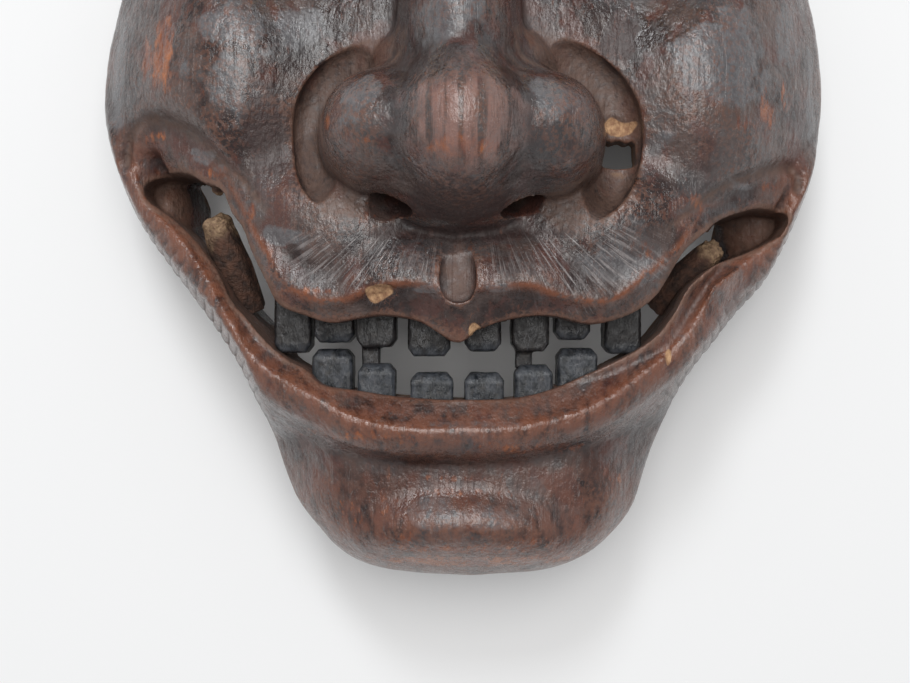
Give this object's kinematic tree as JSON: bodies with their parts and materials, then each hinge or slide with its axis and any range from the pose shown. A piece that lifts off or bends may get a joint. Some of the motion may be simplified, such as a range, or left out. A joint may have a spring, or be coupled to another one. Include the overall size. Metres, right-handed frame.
{
  "type": "carved mask",
  "caption": "Carved wooden demon mask in worn dark lacquer, grinning wide, with black block teeth, broken tusks and gilt eye plates, hollow at the back.",
  "frame": {"origin": "middle of the bounding box's bottom, in the plane of the flat back rim", "axes": "+Z out of the face, +Y from the chin to the brow, +X to the right of someone who looks at the face"},
  "size_m": [0.172, 0.209, 0.0949],
  "materials": {
    "lacquered_wood": "worn dark brown and black lacquer, semi-gloss",
    "black_teeth": "black lacquer, satin",
    "raw_wood": "bare broken wood, dusty",
    "gilt_copper": "worn gilt copper sheet"
  },
  "bodies": {
    "root": {"mask_shell": "lacquered_wood", "upper_tooth_1": "black_teeth", "upper_tooth_2": "black_teeth", "upper_tooth_3": "black_teeth", "upper_tooth_4": "black_teeth", "upper_tooth_5": "black_teeth", "upper_tooth_6": "black_teeth", "upper_tooth_7": "black_teeth", "upper_tooth_8": "black_teeth", "lower_tooth_1": "black_teeth", "lower_tooth_2": "black_teeth", "lower_tooth_3": "black_teeth", "lower_tooth_4": "black_teeth", "lower_tooth_5": "black_teeth", "lower_tooth_6": "black_teeth", "left_upper_tusk_stub": "raw_wood", "left_lower_tusk_stump": "raw_wood", "right_upper_tusk_stub": "raw_wood", "right_lower_tusk_stump": "raw_wood", "left_eye_plate": "gilt_copper", "right_eye_plate": "gilt_copper"}
  },
  "joints": []
}
